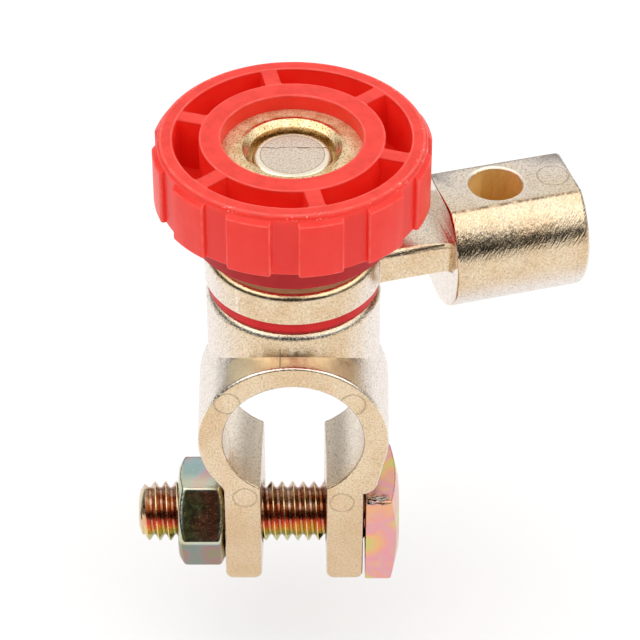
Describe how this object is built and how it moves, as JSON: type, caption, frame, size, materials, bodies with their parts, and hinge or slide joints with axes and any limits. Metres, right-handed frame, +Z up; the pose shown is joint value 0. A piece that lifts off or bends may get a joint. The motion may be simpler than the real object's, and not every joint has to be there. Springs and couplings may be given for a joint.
{
  "type": "battery terminal disconnect switch",
  "caption": "Cast battery post clamp with a square-head clamp bolt, a swivelling cable arm with a round lug, and a red screw-down knob that opens and closes the circuit.",
  "frame": {"origin": "middle of the post bore, on its axis", "axes": "+Y along the post bore from the front face to the rear face, +Z up along the knob's axis, +X along the clamp bolt from its tip to its head"},
  "size_m": [0.0585, 0.0357, 0.0633],
  "materials": {
    "cast_metal": "satin plated casting with a fine grain",
    "arm_metal": "satin plated casting with a fine grain",
    "insert_metal": "satin plated, turned faces",
    "bolt_plating": "iridescent yellow zinc plating",
    "nut_plating": "iridescent yellow zinc plating",
    "washer_plastic": "smooth red plastic",
    "sleeve_plastic": "plain pale plastic",
    "collar_plastic": "smooth dark red plastic",
    "knob_plastic": "moulded red plastic, semi-gloss"
  },
  "bodies": {
    "clamp": {"clamp_body": "cast_metal", "lower_washer": "washer_plastic", "insulating_sleeve": "sleeve_plastic"},
    "arm": {"cable_arm": "arm_metal"},
    "collar": {"contact_collar": "collar_plastic"},
    "knob_unit": {"knob": "knob_plastic", "knob_insert": "insert_metal"},
    "nut": {"clamp_nut": "nut_plating"},
    "bolt": {"clamp_bolt": "bolt_plating"}
  },
  "joints": [
    {"name": "arm_swivel", "type": "hinge", "parent": "clamp", "child": "arm", "pos_m": [0, 0.00675, 0.01975], "axis": [0, 0, 1], "continuous": true},
    {"name": "collar_lift", "type": "slide", "parent": "clamp", "child": "collar", "axis": [0, 0, 1], "range_m": [0, 0.009]},
    {"name": "knob_turn", "type": "hinge", "parent": "collar", "child": "knob_unit", "pos_m": [0, 0.00675, 0.034], "axis": [0, 0, 1], "range_deg": [0, 2160]},
    {"name": "nut_turn", "type": "hinge", "parent": "clamp", "child": "nut", "pos_m": [-0.012, 0, -0.018], "axis": [1, 0, 0], "range_deg": [-1350, 0]},
    {"name": "bolt_slide", "type": "slide", "parent": "clamp", "child": "bolt", "axis": [1, 0, 0], "range_m": [0, 0.00529]}
  ],
  "couplings": [
    {"joint": "knob_turn", "follows": "collar_lift", "rad_per_m": 4188.8},
    {"joint": "nut_turn", "follows": "bolt_slide", "rad_per_m": -4452.6}
  ]
}
